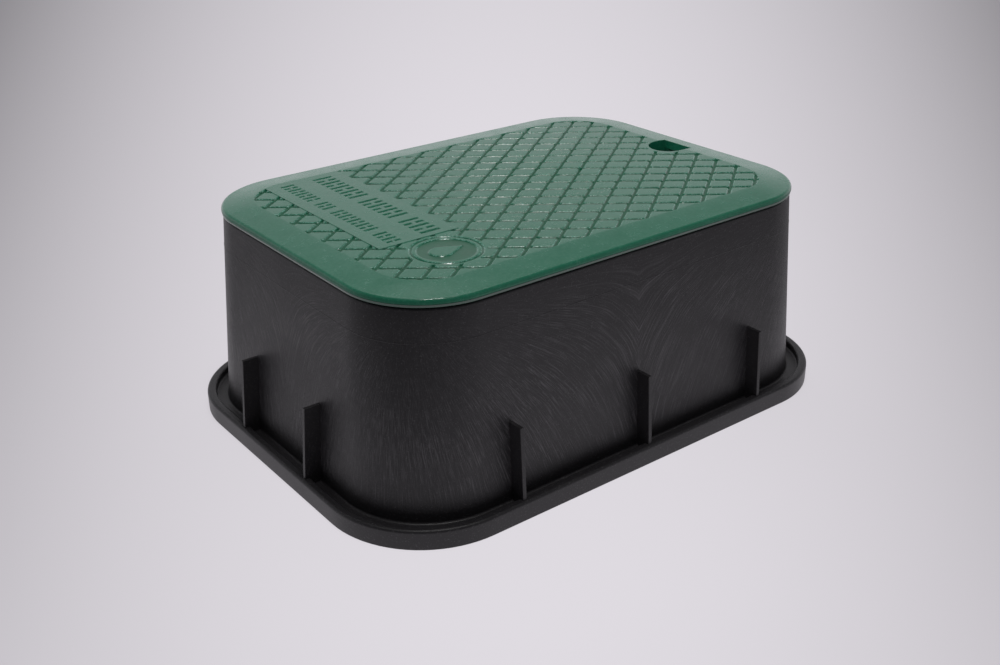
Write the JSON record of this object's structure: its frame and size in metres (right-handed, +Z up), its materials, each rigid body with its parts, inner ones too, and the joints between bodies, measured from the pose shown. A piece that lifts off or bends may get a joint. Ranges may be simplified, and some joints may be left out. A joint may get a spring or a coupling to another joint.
{
  "type": "irrigation valve box",
  "caption": "Rectangular in-ground irrigation valve box: bottomless flanged box with upright gussets, and a lift-off lid with diamond tread, sunk-bar panel and D-shaped lifting hole.",
  "frame": {"origin": "centre of the base, on the ground", "axes": "+X along the long side towards the lifting hole, +Z up towards the lid"},
  "size_m": [0.4826, 0.3556, 0.1838],
  "materials": {
    "box_plastic": "matt black moulded polyethylene",
    "lid_plastic": "satin green moulded polyethylene"
  },
  "bodies": {
    "box": {"box_body": "box_plastic"},
    "lid": {"lid": "lid_plastic"}
  },
  "joints": [
    {"name": "lid_lift", "type": "slide", "parent": "box", "child": "lid", "axis": [0, 0, 1], "range_m": [0, 0.25]}
  ]
}
